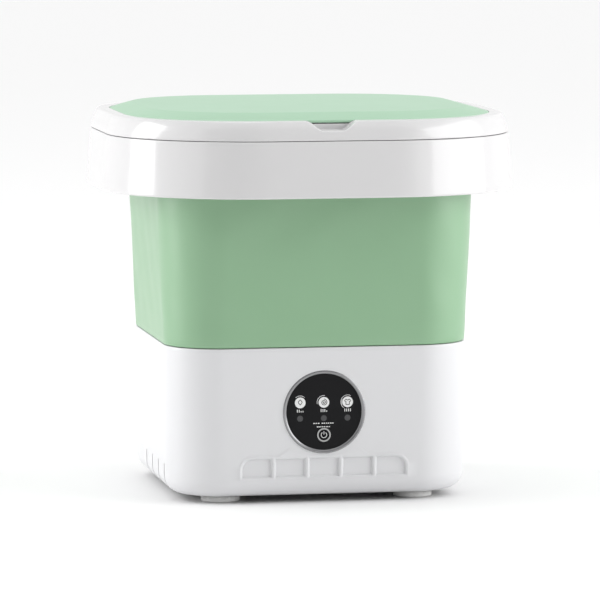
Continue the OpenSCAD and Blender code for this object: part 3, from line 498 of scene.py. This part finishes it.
def base_shell():
    """Base: an outer and an inner skin, with the sunk cells, the disc's opening, two ports and the vents."""
    upright = [(-CELL_ROW_HALF + i * CELL_PITCH + e, way)
               for i in range(CELLS) for e, way in ((0, 1), (CELL_W, -1))]
    level = ((CELL_Z, 1), (CELL_Z + CELL_H, -1))
    corner_marks = spread(0, CELL_ROUND, CORNER_STEP)
    hole_r, seat_r = bezel_r - BEZEL_HOLE, bezel_r - BEZEL_SEAT
    circle_marks = [s * r for s in (-1, 1) for r in (hole_r, seat_r, PORTHOLE)]
    front_marks = cell_marks(upright) + [side * (CELL_ROW_HALF - c) for side in (-1, 1) for c in corner_marks]
    front_half = CELL_ROW_HALF + CELL_RIB
    front = spread(-front_half, front_half, SHELL_STEP, *front_marks, *circle_marks)
    spigot_at = ((spigot_low.x + spigot_high.x) / 2, (spigot_low.z + spigot_high.z) / 2)
    inlet_at = ((inlet_low.x + inlet_high.x) / 2, spigot_at[1])
    ports = ((spigot_at, SPIGOT_HOLE), (inlet_at, INLET_HOLE))
    port_marks = [-(at[0] + s * r) for at, hole in ports for s in (-1, 1) for r in (hole, PORT_HALF)]
    back = [b for at, _ in ports
            for b in spread(-(at[0] + PORT_HALF), -(at[0] - PORT_HALF), PORT_STEP, *port_marks)]
    vents = [(i + VENT_START) * VENT_PITCH for i in range(VENTS)]
    vent_sides = (-VENT_W / 2 - VENT_EDGE, -VENT_W / 2, 0, VENT_W / 2, VENT_W / 2 + VENT_EDGE)
    left = [-(v + s) for v in vents for s in vent_sides]
    stations = track(base_core, front=front, back=back, left=left)

    round_z = shell_low.z + BOTTOM_ROUND
    foot_reach = BASE_CORNER - BASE_DRAFT
    profile = [(foot_reach - BOTTOM_ROUND * (1 - math.sin(a)), round_z - BOTTOM_ROUND * math.cos(a))
               for a in (0.0, *np.radians(np.linspace(7.5, 90, 12)))]
    wall_top = shell_high.z
    z_corner = [CELL_Z + CELL_H - c for c in corner_marks]
    z_circle = [disc_z + c for c in circle_marks]
    z_port = [spigot_at[1] + s * r for s in (-1, 1) for r in (SPIGOT_HOLE, INLET_HOLE, PORT_HALF)]
    heights = spread(round_z, wall_top - LIP, SHELL_STEP, *cell_marks(level), *z_corner, *z_circle, *z_port,
                     VENT_TOP, VENT_TOP - 2 * VENT_EDGE)[1:]
    draft = lambda z: BASE_CORNER - BASE_DRAFT * (seam_z - z) / (seam_z - round_z)
    profile += [(draft(z), z) for z in heights]
    profile += [(draft(wall_top) - LIP * (1 - math.cos(a)), wall_top - LIP + LIP * math.sin(a))
                for a in np.radians((30, 60, 90))]
    outer = swept(stations, profile)
    floor_z = round_z - 6 * MM
    inner_profile = [(max(r - BASE_WALL, 0), z + (BASE_WALL * 0.5 if z < floor_z else 0)) for r, z in profile]
    inner = swept(stations, inner_profile)
    normal = np.broadcast_to(stations[1][None], outer[..., :2].shape)
    x, z = outer[..., 0].copy(), outer[..., 2].copy()
    on_front = (normal[..., 1] < -SQUARE_ON) & (z > round_z)
    on_back = (normal[..., 1] > SQUARE_ON) & (z > round_z)
    bent_x, bent_z = ring_round(x, z - disc_z, seat_r, PORTHOLE)
    bend = on_front & (np.maximum(abs(x), abs(z - disc_z)) < PORTHOLE)
    for grid in (outer, inner):
        grid[..., 0] = np.where(bend, bent_x, grid[..., 0])
        grid[..., 2] = np.where(bend, bent_z + disc_z, grid[..., 2])
    for at, hole in ports:
        s, t = ring_round(x - at[0], z - at[1], hole, PORT_HALF)
        patch = on_back & (np.maximum(abs(x - at[0]), abs(z - at[1])) < PORT_HALF)
        for grid in (outer, inner):
            grid[..., 0] = np.where(patch, s + at[0], grid[..., 0])
            grid[..., 2] = np.where(patch, t + at[1], grid[..., 2])
    sunk = np.where(on_front, cell_relief(x, z), 0)
    outer[..., 1] += sunk
    inner[..., 1] += sunk
    cell = lambda a: (a[:-1] + a[1:]) / 2
    mid = lambda a: (cell(a) + np.roll(cell(a), -1, axis=1)) / 2
    mx, mz, my = mid(x), mid(z), mid(outer[..., 1])
    keep = ~((my < -base_y * 0.9) & (np.maximum(abs(mx), abs(mz - disc_z)) < hole_r))
    for at, hole in ports:
        keep &= ~((my > base_y * 0.9) & (np.maximum(abs(mx - at[0]), abs(mz - at[1])) < hole))
    in_vents = (mx < -base_x * 0.88) & (mz < VENT_TOP - VENT_EDGE) & (mz > shell_low.z + VENT_LOW)
    for v in vents:
        keep &= ~(in_vents & (abs(my - v) < VENT_W / 2))
    piece = walled("base_skin", outer, inner, keep, white_satin)
    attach(piece, "base")
    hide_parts("base_shell")


base_shell()

# ---------------------------------------------------------------- folding wall

WALL_STEP = 4 * MM
BEAD_H = 3 * MM
BEAD_W = 6 * MM
SPLIT_DROP = 1.5 * MM
WAVE_FADE = 30 * MM
LONG_WAVE = 0.16 * MM
SHORT_WAVE = 0.12 * MM


def fold_wall():
    """Elastic wall: a straight leaning band with a very slight slow wave. It is split under the clamp ring,
    and the cuff that the ring grips moves with the collar."""
    stations = track(base_core, *[spread(-ALONG, ALONG, WALL_STEP)] * 4, turn_steps=30)
    split_z = clamp_low.z - SPLIT_DROP
    reach = lambda z: BASE_CORNER + wall_lean * (z - seam_z)
    foot = reach(wall_low.z)
    heights = spread(wall_low.z + 1 * MM, split_z, WALL_STEP)
    outside = [(foot - 0.7 * MM, wall_low.z), (foot - 0.2 * MM, wall_low.z + 0.3 * MM)]
    outside += [(reach(z), z) for z in heights]
    inside = [(reach(z) - WALL_T, z) for z in heights[::-1] if z > wall_low.z + 3.2 * MM]
    bead_top, bead_reach = wall_low.z + BEAD_H, foot - WALL_T - BEAD_W
    bead = [(foot - WALL_T, bead_top), (bead_reach, bead_top), (bead_reach, wall_low.z)]
    grid = swept(stations, outside + inside + bead)
    around = np.cumsum(np.linalg.norm(np.diff(grid[3], axis=0, append=grid[3][:1]), axis=1))
    turns = around / around[-1] * 2 * np.pi
    z = grid[..., 2]
    fade = ease((z - wall_low.z) / WAVE_FADE) * ease((collar_z + 20 * MM - z) / WAVE_FADE)
    wave = LONG_WAVE * np.sin(turns * 11 + 3 * np.sin(z * 40)) + SHORT_WAVE * np.sin(turns * 23 + z * 70)
    grid[..., :2] += (wave * fade)[..., None] * stations[1][None]
    folding = hoop("fold_wall_skin", grid, green_elastic)
    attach(folding, "base")
    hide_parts("fold_wall")
    joint = next(j for j in frame["joints"] if j["name"] == "collapse")
    keep_share = 1 - joint["range_m"][1] / (split_z - wall_low.z)
    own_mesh(folding)
    cuff_z = spread(split_z, wall_high.z - 1 * MM, WALL_STEP)
    cuff_rows = [(reach(z), z) for z in cuff_z] + [(reach(wall_high.z) - 1 * MM, wall_high.z)]
    cuff_rows += [(reach(z) - WALL_T, z) for z in cuff_z[::-1]]
    cuff = hoop("fold_wall_cuff", swept(stations, cuff_rows), green_elastic)
    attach(cuff, "collar")


fold_wall()

# ---------------------------------------------------------------- collar


def cut(piece, cutters):
    """Takes the cutters' shapes out of a piece and removes them."""
    for cutter in cutters:
        trim = piece.modifiers.new("cut", "BOOLEAN")
        trim.operation, trim.object, trim.solver = "DIFFERENCE", cutter, "EXACT"
        bpy.context.view_layer.update()
        done = bpy.data.meshes.new_from_object(piece.evaluated_get(bpy.context.evaluated_depsgraph_get()))
        piece.modifiers.clear()
        piece.data = done
        bpy.data.objects.remove(cutter)
    piece.data.shade_smooth()
    piece.data.set_sharp_from_angle(angle=math.radians(40))


def rod(name, x0, x1, y, z, radius, material, sides=40):
    """Round bar along X, closed at both ends."""
    a = np.linspace(0, 2 * np.pi, sides, endpoint=False)
    ring = np.stack([np.zeros(sides), np.cos(a) * radius, np.sin(a) * radius], -1) + (0, y, z)
    rows = [ring * (0, 1, 1) + (x, 0, 0) for x in (x0, x1)]
    ends = [np.broadcast_to((x, y, z), ring.shape) for x in (x0, x1)]
    return capped(name, np.stack([ends[0], *rows, ends[1]]), material)


LID_KNUCKLE = 16 * MM
COLLAR_KNUCKLE = 8 * MM
KNUCKLE_GAP = 0.4 * MM
KNUCKLE_NICK = 0.35 * MM
COLLAR_BORE = 1.27 * MM
LID_BORE = 1.3 * MM
POCKET_R = KNUCKLE_R + 0.5 * MM
hinge_half = (LID_KNUCKLE + 2 * (COLLAR_KNUCKLE + KNUCKLE_GAP)) / 2
hinge_centres = (pin_low.x + hinge_half, pin_high.x - hinge_half)


def match_stations(core):
    """Stations of one count and spacing on any core, so that outlines of two cores join row to row."""
    shares = np.linspace(-1, 1, 15)[1:-1] * 0.96
    return track(core, shares * core[0], shares * core[1], shares * core[0], shares * core[1], turn_steps=36)


def collar():
    """Collar: a skirt that leans in as it rises, a top band, a throat into the folding wall, and its
    inside."""
    lean = lambda z: COLLAR_CORNER - COLLAR_FLARE * (z - collar_z) / (part_z - collar_z)
    foot, top = lean(collar_z), lean(part_z)
    under_top = part_z - COLLAR_T
    outside = [(foot - 1.2 * MM, collar_z), (foot - 0.35 * MM, collar_z + 0.3 * MM),
               (foot, collar_z + 1.2 * MM), (lean(collar_z + 2 * MM), collar_z + 2 * MM)]
    outside += rounded([(foot, collar_z, 0), (top, part_z, 0.8 * MM), (top - COLLAR_BAND, part_z, 0)])[1:]
    inside = [(top - COLLAR_BAND, under_top), (top - COLLAR_T - 1.5 * MM, under_top),
              (lean(part_z - 5 * MM) - COLLAR_T, under_top - 2 * MM), (foot - COLLAR_T, collar_z + 1.5 * MM),
              (foot - COLLAR_T + 0.5 * MM, collar_z + 0.3 * MM)]
    neck_z, neck_back = part_z - NECK_DROP, neck_reach + 2.5 * MM
    neck = rounded([(neck_reach + 1.6 * MM, part_z, 0), (neck_reach, part_z, 1.2 * MM),
                    (neck_reach, neck_z, 0.8 * MM), (neck_back, neck_z, 0.8 * MM), (neck_back, under_top, 0)])
    skirt = swept(match_stations(collar_core), outside)
    throat = swept(match_stations(base_core), neck)
    under = swept(match_stations(collar_core), inside)
    piece = hoop("collar_skin", np.concatenate([skirt, throat, under]), white_gloss)
    half = LID_KNUCKLE / 2 + KNUCKLE_GAP
    cut(piece, [rod("pocket", c - half, c + half, hinge_y, hinge_z, POCKET_R, white_gloss)
                for c in hinge_centres])
    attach(piece, "collar")
    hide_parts("collar")


collar()


def knuckle_outline(foot_y, foot_z, sides=48):
    """Outline, in Y and Z, of a round barrel whose skin runs out straight to a small foot."""
    a = np.linspace(0, 2 * np.pi, sides, endpoint=False)
    circle = np.stack([np.cos(a), np.sin(a)], -1) * KNUCKLE_R
    foot = np.array([foot_y - hinge_y, foot_z - hinge_z])
    far = np.linalg.norm(foot)
    along = circle @ (foot / far)
    side = circle @ (np.array([-foot[1], foot[0]]) / far)
    start = KNUCKLE_R * 0.25
    pull = np.clip((along - start) / (KNUCKLE_R - start), 0, 1)
    stretch = pull[:, None] * (foot / far) * (far - KNUCKLE_R)
    slim = -side[:, None] * (np.array([-foot[1], foot[0]]) / far) * pull[:, None] * 0.35
    return circle + stretch + slim + (hinge_y, hinge_z)


def knuckle(name, x0, x1, foot, bore, body):
    """Hinge knuckle between two places along X: its outline carried straight across, with its bore."""
    outline = knuckle_outline(*foot)
    centre = np.array([hinge_y, hinge_z])
    a = np.linspace(0, 2 * np.pi, len(outline), endpoint=False)
    hole = np.stack([np.cos(a), np.sin(a)], -1) * bore + centre
    end = centre + (outline - centre) * (1 - KNUCKLE_NICK / KNUCKLE_R)
    rows = [(hole, x0), (end, x0), (outline, x0 + KNUCKLE_NICK),
            (outline, x1 - KNUCKLE_NICK), (end, x1), (hole, x1)]
    grid = np.stack([np.column_stack([np.full(len(o), x), o]) for o, x in rows])
    piece = hoop(name, grid, white_gloss)
    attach(piece, body)


collar_foot = (collar_y - COLLAR_FLARE - 1 * MM, part_z - 12 * MM)
lid_foot = (lid_y - 5 * MM, lid_z + 9.5 * MM)
for number, centre in enumerate(hinge_centres):
    half = LID_KNUCKLE / 2
    near = half + KNUCKLE_GAP
    far = near + COLLAR_KNUCKLE
    knuckle(f"collar_knuckle_{number}_left", centre - far, centre - near, collar_foot, COLLAR_BORE, "collar")
    knuckle(f"collar_knuckle_{number}_right", centre + near, centre + far, collar_foot, COLLAR_BORE, "collar")
    knuckle(f"lid_knuckle_{number}", centre - half, centre + half, lid_foot, LID_BORE, "lid")

# ---------------------------------------------------------------- lid


def lid_frame():
    """Lid frame: side face that leans in on a curve, top band, and the pocket that holds the panel. At the
    front the band drops, station by station, to the floor of the finger notch."""
    half = NOTCH_W / 2
    notch = spread(-half - 3 * MM, half + 3 * MM, 0.6 * MM)
    front = spread(-ALONG, ALONG, 10 * MM, *notch)
    stations = track(lid_core, front, *[spread(-ALONG, ALONG, 10 * MM)] * 3, turn_steps=36)
    core, normal = stations
    run = (half - abs(core[:, 0])) / (NOTCH_W * NOTCH_LEAN)
    depth = np.where(normal[:, 1] < -SQUARE_ON, (ease(run) + np.clip(run, 0, 1)) / 2, 0)
    floor_z = frame_top - NOTCH_H * depth
    back_in = PANEL_IN - 0.3 * MM
    back_top = frame_top - np.clip(depth * 3, 0, 1) * 2.9 * MM
    soft = 1.3 * MM
    rows = []

    def add(inset, z):
        rows.append((np.broadcast_to(inset, floor_z.shape), np.broadcast_to(z, floor_z.shape)))

    def face_in(z):
        share = (z - lid_z) / (frame_top - lid_z)
        return LID_SLOPE * (0.2 * share + 0.8 * share ** 2)

    foot_z = lid_z - LID_REACH
    add(0.3 * MM, foot_z)
    add(0.08 * MM, foot_z + 0.12 * MM)
    for t in np.linspace(0.04, 1, 9):
        z = foot_z + t * (floor_z - soft - foot_z)
        add(face_in(np.maximum(z, lid_z)), z)
    edge = face_in(floor_z)
    start = face_in(floor_z - soft)
    for t in np.linspace(0, 1, 6)[1:]:
        across = start * (1 - t) ** 2 + 2 * edge * t * (1 - t) + (edge + soft) * t ** 2
        add(across, floor_z - soft * (1 - t) ** 2)
    add(edge + soft + 0.5 * MM, floor_z)
    hollow = np.minimum(1.2 * MM, (frame_top - floor_z) * 0.4)
    for t in np.linspace(0, 1, 5):
        add(back_in - hollow * (1 - t) ** 2, floor_z + hollow * t ** 2)
    add(back_in, back_top)
    ledge_top, ledge_foot = ledge_z - 0.6 * MM, ledge_z - 2.4 * MM
    inner_edge, outer_edge = PANEL_IN + LEDGE_IN, PANEL_IN + LEDGE_OUT
    for inset, z in ((back_in + 0.25 * MM, ledge_top), (inner_edge, ledge_top), (inner_edge, ledge_foot),
                     (outer_edge, ledge_foot), (outer_edge, lid_z + 4.5 * MM),
                     (LID_T + 1.5 * MM, lid_z + 3.6 * MM), (LID_T, lid_z + 2 * MM), (LID_T, foot_z)):
        add(inset, z)
    inset = np.stack([r[0] for r in rows])
    flat = core[None] + (lid_corner - inset)[..., None] * normal[None]
    grid = np.concatenate([flat, np.stack([r[1] for r in rows])[..., None]], axis=2)
    piece = hoop("lid_frame_skin", grid, white_gloss)
    near, room = LID_KNUCKLE / 2, COLLAR_KNUCKLE + 2 * KNUCKLE_GAP
    starts = [start for c in hinge_centres for start in (c - near - room, c + near)]
    cut(piece, [rod("pocket", x, x + room, hinge_y, hinge_z, POCKET_R, white_gloss) for x in starts])
    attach(piece, "lid")
    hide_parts("lid_frame")


lid_frame()


def lid_panel():
    """Lid panel: a crisp edge, a slope that eases into a plateau, and a very low crown, all in rings."""
    stations = track(lid_core, *[spread(-ALONG, ALONG, 8 * MM)] * 4, turn_steps=36)
    crown_top, foot = panel_high.z, panel_low.z
    reach = lid_corner - PANEL_IN
    rise = crown_top - 1.1 * MM - frame_top
    edge = [(reach - 0.4 * MM, foot), (reach, foot + 0.3 * MM), (reach, frame_top - 0.7 * MM),
            (reach - 0.2 * MM, frame_top - 0.2 * MM), (reach - 0.8 * MM, frame_top)]
    border = [(reach - 0.8 * MM - PANEL_BORDER * t, frame_top + rise * (1.15 * t - 0.15 * t ** 3))
              for t in np.linspace(0.04, 0.94, 9)]
    shoulder = [(reach - PANEL_BORDER * t, frame_top + rise * (1 + 0.05 * min(1, (t - 1) * 4)))
                for t in (1.02, 1.1, 1.2, 1.4)]
    top_rows = swept(stations, edge + border + shoulder)
    last = top_rows[-1]
    level = last[0, 2]
    climb = crown_top - level
    crown = [np.column_stack([last[:, :2] * s, np.full(len(last), level + climb * (1 - s ** 2))])
             for s in np.linspace(1, 0, 14)[1:]]
    under_profile = [(reach - 4 * MM, foot), (reach - PANEL_BORDER - 2 * MM, foot + rise - 0.6 * MM)]
    under_edge = swept(stations, under_profile)
    inmost = under_edge[-1]
    below = [np.column_stack([inmost[:, :2] * s, np.full(len(last), inmost[0, 2])]) for s in (0, 0.5)]
    grid = np.concatenate([np.stack(below), under_edge[::-1], top_rows, np.stack(crown)])
    piece = capped("lid_panel_skin", grid, green_panel, sharp=50)
    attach(piece, "lid")
    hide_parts("lid_panel")


lid_panel()

# ---------------------------------------------------------------- carried-over pieces

FINE_COPIES = {
    "panel_bezel": (silver_trim, {}), "feet": (soft_white, {}), "tub_pan": (white_inner, {}),
    "wall_clamp_ring": (white_inner, {}), "pulsator": (white_inner, {"soften": 0.5 * MM}),
    "drain_spigot": (white_inner, {}), "drain_plug": (grey_rubber, {}), "power_inlet": (black_plastic, {}),
    "lid_liner": (white_inner, {"sharp": 12}), "lid_seal": (soft_white, {}),
    # The bottom cover's dark grey is painted shade under the base.
    "bottom_cover": (underside_shade_grey, {}), "hinge_pins": (steel, {}),
}
for node, (material, options) in FINE_COPIES.items():
    cad_copy(node, material, **options)

NODE_FINISH = {
    "panel_disc": black_gloss, "power_key": black_gloss, "indicator_windows": grey_window,
    "key_ring": grey_print, "mode_marks": white_print, "cover_screws": steel, "drain_grate": white_inner,
    "drain_elbow": grey_rubber, "pulsator_screw": steel, "drive_shaft": steel, "shaft_seal": grey_rubber,
    "upper_bearing": steel, "lower_bearing": steel, "shaft_clip": steel, "driven_gear": gear_nylon,
    "gear_plate": zinc_plate, "plate_screws": steel, "motor_can": steel, "motor_end_cap": black_plastic,
    "motor_screws": steel, "motor_shaft": steel, "motor_pinion": gear_nylon, "control_board": board_green,
    "key_switch": black_plastic, "board_leds": clear_led, "board_screws": steel, "inlet_nut": steel,
    "inlet_pin": steel, "wire_harness": wire_red,
}
for node, material in NODE_FINISH.items():
    mesh = frame["nodes"][node].data
    if mesh.materials:
        for i in range(len(mesh.materials)):
            mesh.materials[i] = material
    else:
        mesh.materials.append(material)

# ---------------------------------------------------------------- printed marks on the panel

marks_low, marks_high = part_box("mode_marks")
windows_low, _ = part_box("indicator_windows")
key_low, key_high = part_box("power_key")
INK = 0.07 * MM


def arc(x, z, radius, start, end, steps=24):
    """Open path along a circle in X and Z, with its angles in degrees, 0 to the right and 90 up."""
    a = np.radians(np.linspace(start, end, steps))
    return np.stack([x + radius * np.cos(a), z + radius * np.sin(a)], -1)


def bar(x0, z0, x1, z1):
    """Straight path between two places in X and Z."""
    return np.linspace((x0, z0), (x1, z1), 2)


def printed(name, paths, width, ground, material, body):
    """Raised print: each open path becomes a thin flat bar of one width that lies on the ground's Y. Its
    section is a small rectangle across the path, and its two ends shrink to points, which closes it."""
    points, faces, count = [], [], 0
    for path in paths:
        path = np.asarray(path, float)
        along = np.gradient(path, axis=0)
        along /= np.linalg.norm(along, axis=1)[:, None]
        across = np.stack([along[:, 1], -along[:, 0]], -1) * width / 2
        near, far = ground - INK, ground + INK / 2
        corners = [(path + across, near), (path - across, near), (path - across, far), (path + across, far)]
        rows = np.stack([np.column_stack([c[:, 0], np.full(len(c), y), c[:, 1]]) for c, y in corners])
        middle = rows.mean(axis=0)
        first, last = (np.broadcast_to(end, (4, 1, 3)) for end in (middle[:1], middle[-1:]))
        rows = np.concatenate([first, rows, last], axis=1)
        faces.append(quads(4, rows.shape[1], True, False).reshape(-1, 4) + count)
        points.append(rows.reshape(-1, 3))
        count += rows.shape[0] * rows.shape[1]
    piece = new_piece(name, np.concatenate(points), np.concatenate(faces), material, sharp=30)
    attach(piece, body)


def panel_print():
    """Generic marks: a drop, a spiral and a shirt on the three round marks, a white part ring round each as
    painted reflection of the mark, level bars and short dashes below them, and an on-off sign on the key."""
    mark_r = (marks_high.z - marks_low.z) / 2
    mark_z = (marks_high.z + marks_low.z) / 2
    places = (marks_low.x + mark_r, (marks_low.x + marks_high.x) / 2, marks_high.x - mark_r)
    glyph_y, disc_y, key_y = marks_low.y, disc_low.y, key_low.y
    body = frame["nodes"]["mode_marks"]["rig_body"]
    x, z, u = places[0], mark_z, MM
    t = np.linspace(0, 1, 40)
    swell, fall = 1.55 * u * np.sin(np.pi * t) ** 1.5, z + u * (2.6 - 4.4 * t)
    drop = np.stack([x + np.concatenate([swell, -swell[::-1]]), np.concatenate([fall, fall[::-1]])], -1)
    drop = drop[np.r_[True, np.linalg.norm(np.diff(drop, axis=0), axis=1) > 1e-6]]
    turn = np.linspace(0, 2.25 * 2 * np.pi, 70)
    out = turn / turn[-1] * 2.7 * u
    spin = np.stack([places[1] + out * np.cos(turn), z + out * np.sin(turn)], -1)
    x = places[2]
    half = [(0.7, 2.0), (1.5, 2.1), (2.7, 1.0), (2.0, 0.2), (1.45, 0.7), (1.45, -2.2)]
    shirt = [[(x + s * a * u, z + b * u) for a, b in half] for s in (-1, 1)]
    hem = [(x - 1.45 * u, z - 2.2 * u), (x + 1.45 * u, z - 2.2 * u)]
    neckline = arc(x, z + 2.2 * u, 0.75 * u, 180, 360)
    glyphs = [drop, spin, *shirt, hem, neckline]
    printed("mode_glyphs", glyphs, 0.55 * u, glyph_y, dark_print, body)
    # The white part rings round the marks are painted reflection, the ghost of each mark in its clear cover.
    spans = ((50, 132), (82, 192), (62, 236))
    rings = [arc(p, z, mark_r + 1.25 * u, *span) for p, span in zip(places, spans)]
    rings += [arc(places[2], z, mark_r + 0.6 * u, 150, 205)]
    printed("mode_mark_reflections", rings, 0.34 * u, disc_y, white_print, body)
    label_z = mark_z - mark_r - 2.3 * u
    bars = []
    for level, p in enumerate(places, start=1):
        for i in range(4):
            tall = 1.15 * u if i <= level else 0.6 * u
            at = p + (i - 1.5) * 1.55 * u
            bars.append(bar(at, label_z - 1.15 * u, at, label_z - 1.15 * u + 2 * tall))
    printed("level_bars", bars, 0.6 * u, disc_y, white_print, body)
    first_z, second_z = windows_low.z - 1.6 * u, windows_low.z - 4.5 * u
    dashes = []
    for row_z, words in ((first_z, ((-8.8, -3.2), (-1.9, 8.6))), (second_z, ((-5.8, 5.8),))):
        for left, right in words:
            count = max(2, round((right - left) / 1.9))
            step = (right - left) / count
            for i in range(count):
                start = left + i * step
                dashes.append(bar(start * u, row_z, (start + step * (0.62 if i % 2 else 0.74)) * u, row_z))
    printed("caption_dashes", dashes, 0.75 * u, disc_y, white_print, body)
    key_z = (key_low.z + key_high.z) / 2
    sign = [arc(0, key_z, 2.3 * u, 125, 415, 30), bar(0, key_z + 0.4 * u, 0, key_z + 2.9 * u)]
    key_body = frame["nodes"]["power_key"]["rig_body"]
    printed("key_sign", sign, 0.45 * u, key_y, white_print, key_body)


panel_print()

# ---------------------------------------------------------------- camera, light and floor


def card(name, centre, width, height, facing, level):
    """Flag that keeps light off the object: a plain rectangle turned to face a point."""
    bpy.ops.mesh.primitive_plane_add(size=1, location=centre)
    made = bpy.context.object
    made.name = name
    made.scale = (width, height, 1)
    made.rotation_euler = (Vector(facing) - Vector(centre)).to_track_quat("Z", "Y").to_euler()
    paint = Finish(name, (level, level, level), 0.9)
    paint.tint(0.1, (level * 0.9,) * 3, 0.4)
    made.data.materials.append(paint.material)


def stage():
    """White floor under an even white sky."""
    bpy.ops.mesh.primitive_plane_add(size=60, location=(0, 0, 0))
    floor = bpy.context.object
    floor.name = "floor"
    paint = Finish("floor_white", (0.94, 0.94, 0.94), 0.9)
    paint.tint(0.05, (0.93, 0.93, 0.93), 0.4)
    floor.data.materials.append(paint.material)
    world = bpy.data.worlds.new("studio")
    bpy.context.scene.world = world
    world.use_nodes = True
    sky = world.node_tree.nodes["Background"].inputs
    sky["Color"].default_value = (1, 1, 1, 1)
    sky["Strength"].default_value = 0.92


def overhead(strength, spread_angle, tilt):
    """Very wide soft light from above, which lifts the floor and upward faces and leaves the walls alone."""
    light = bpy.data.lights.new("overhead", "SUN")
    light.energy, light.angle = strength, math.radians(spread_angle)
    lamp = bpy.data.objects.new("overhead", light)
    lamp.rotation_euler = [math.radians(a) for a in tilt]
    bpy.context.scene.collection.objects.link(lamp)


def softbox(name, place, target, width, height, power):
    """Rectangular soft light at a place, turned to a target."""
    light = bpy.data.lights.new(name, "AREA")
    light.shape, light.size, light.size_y, light.energy = "RECTANGLE", width, height, power
    lamp = bpy.data.objects.new(name, light)
    lamp.location = place
    lamp.rotation_euler = (Vector(target) - Vector(place)).to_track_quat("-Z", "Y").to_euler()
    bpy.context.scene.collection.objects.link(lamp)


def camera():
    """Long lens, left of the front and a little above the level, aimed at the middle of the object."""
    azimuth, elevation, distance = math.radians(-10.7), math.radians(5.8), 4.0
    target = Vector((0, 0, 0.16))
    level = math.cos(elevation)
    away = Vector((math.sin(azimuth) * level, -math.cos(azimuth) * level, math.sin(elevation)))
    data = bpy.data.cameras.new("camera")
    data.lens, data.sensor_width = 288, 36
    data.shift_x, data.shift_y = 0.0037, -0.0109
    made = bpy.data.objects.new("camera", data)
    made.location = target + away * distance
    made.rotation_euler = (-away).to_track_quat("-Z", "Y").to_euler()
    bpy.context.scene.collection.objects.link(made)
    bpy.context.scene.camera = made


stage()
card("front_card", (-0.7, -5.0, 2.4), 8.0, 4.6, (0, 0, 0.5), 0.10)
overhead(0.28, 25, (4, -6, 0))
softbox("left_box", (-2.9, 0.5, 1.1), (0, 0, 0.3), 1.5, 2.1, 48)
softbox("right_box", (2.75, -1.1, 1.1), (0, 0, 0.3), 3.0, 2.1, 58)
camera()
bpy.context.scene.view_settings.view_transform = "Standard"
